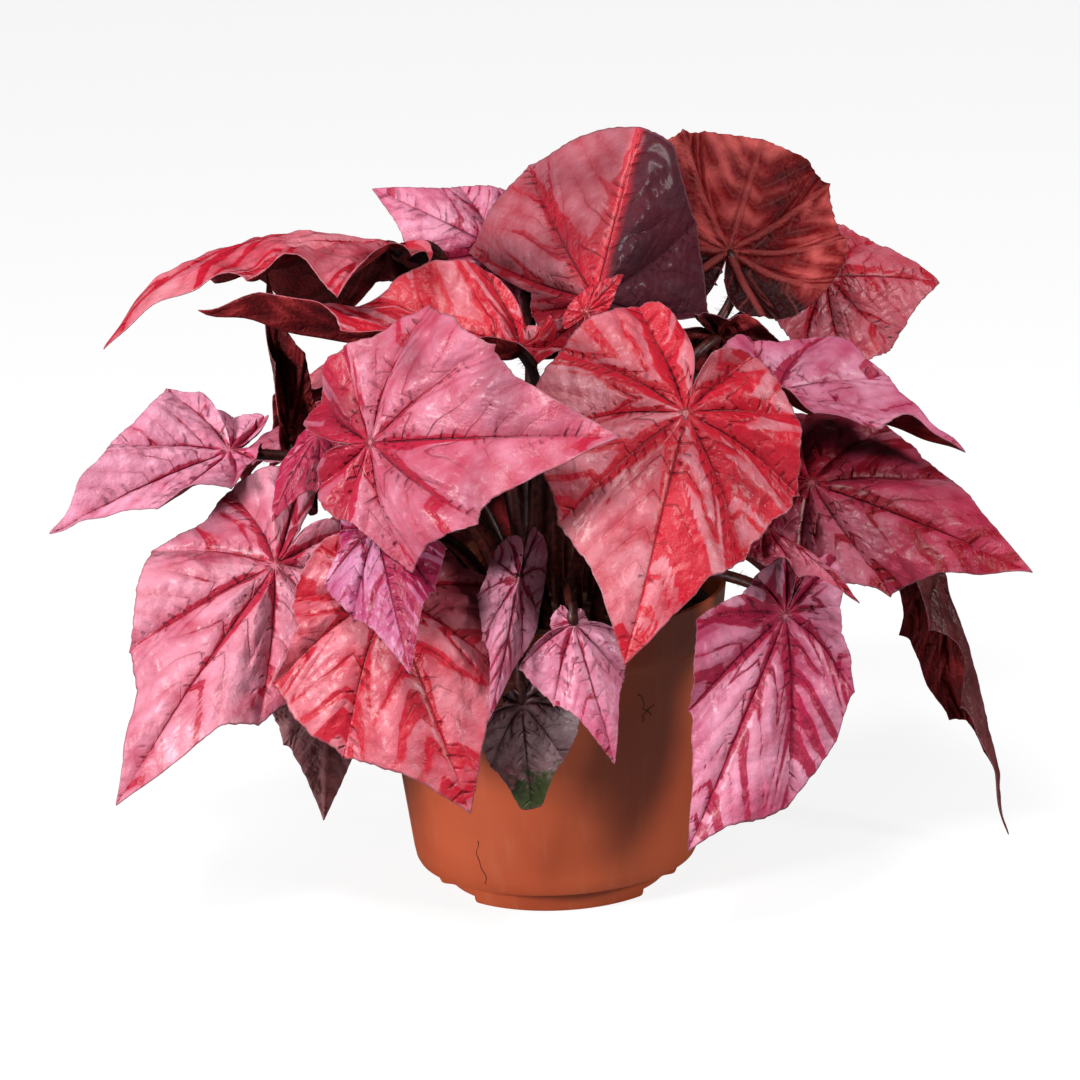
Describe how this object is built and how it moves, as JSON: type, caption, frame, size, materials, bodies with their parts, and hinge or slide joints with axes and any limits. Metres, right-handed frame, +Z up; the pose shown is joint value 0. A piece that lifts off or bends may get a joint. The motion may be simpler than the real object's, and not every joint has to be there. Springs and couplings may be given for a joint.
{
  "type": "potted begonia",
  "caption": "Painted-leaf begonia with pink and crimson pointed leaves on arching stalks, in a round tapered plastic nursery pot filled with compost.",
  "frame": {"origin": "middle of the flat underside of the pot, where it stands", "axes": "+Z up along the pot's axis; the plant's front, as pictured, is towards -Y, with +X to the viewer's right"},
  "size_m": [0.3438, 0.2668, 0.2668],
  "materials": {
    "pot_plastic": "satin",
    "compost": "matte",
    "rhizome": "matte",
    "leaf_crimson": "satin",
    "leaf_salmon": "satin",
    "leaf_coral": "satin",
    "leaf_pink": "satin",
    "leaf_lilac": "satin",
    "leaf_burgundy": "satin",
    "leaf_maroon": "satin",
    "leaf_old": "matte"
  },
  "bodies": {
    "root": {"pot": "pot_plastic", "soil": "compost", "crown": "rhizome", "leaf_front_right": "leaf_crimson", "leaf_front_left": "leaf_salmon", "leaf_lilac": "leaf_lilac", "leaf_low_centre": "leaf_coral", "leaf_centre_folded": "leaf_pink", "leaf_low_pale": "leaf_pink", "leaf_old": "leaf_old", "leaf_top_centre": "leaf_crimson", "leaf_top_pink": "leaf_pink", "leaf_top_right": "leaf_maroon", "leaf_top_left": "leaf_coral", "leaf_upper_left": "leaf_crimson", "leaf_young_top": "leaf_crimson", "leaf_high_right": "leaf_coral", "leaf_right_pink": "leaf_pink", "leaf_right_burgundy": "leaf_burgundy", "leaf_right_low": "leaf_pink", "leaf_right_curled": "leaf_burgundy", "leaf_right_hanging": "leaf_maroon", "leaf_shade_right": "leaf_maroon", "leaf_shade_low": "leaf_burgundy", "leaf_left_mid": "leaf_pink", "leaf_left_low": "leaf_salmon", "leaf_left_strap": "leaf_maroon", "leaf_left_under": "leaf_maroon", "leaf_young_left": "leaf_pink", "leaf_back_1": "leaf_coral", "leaf_back_2": "leaf_crimson", "leaf_back_3": "leaf_pink", "leaf_back_4": "leaf_salmon", "leaf_back_5": "leaf_pink", "leaf_back_6": "leaf_crimson", "leaf_back_7": "leaf_salmon", "leaf_back_8": "leaf_coral"}
  },
  "joints": []
}
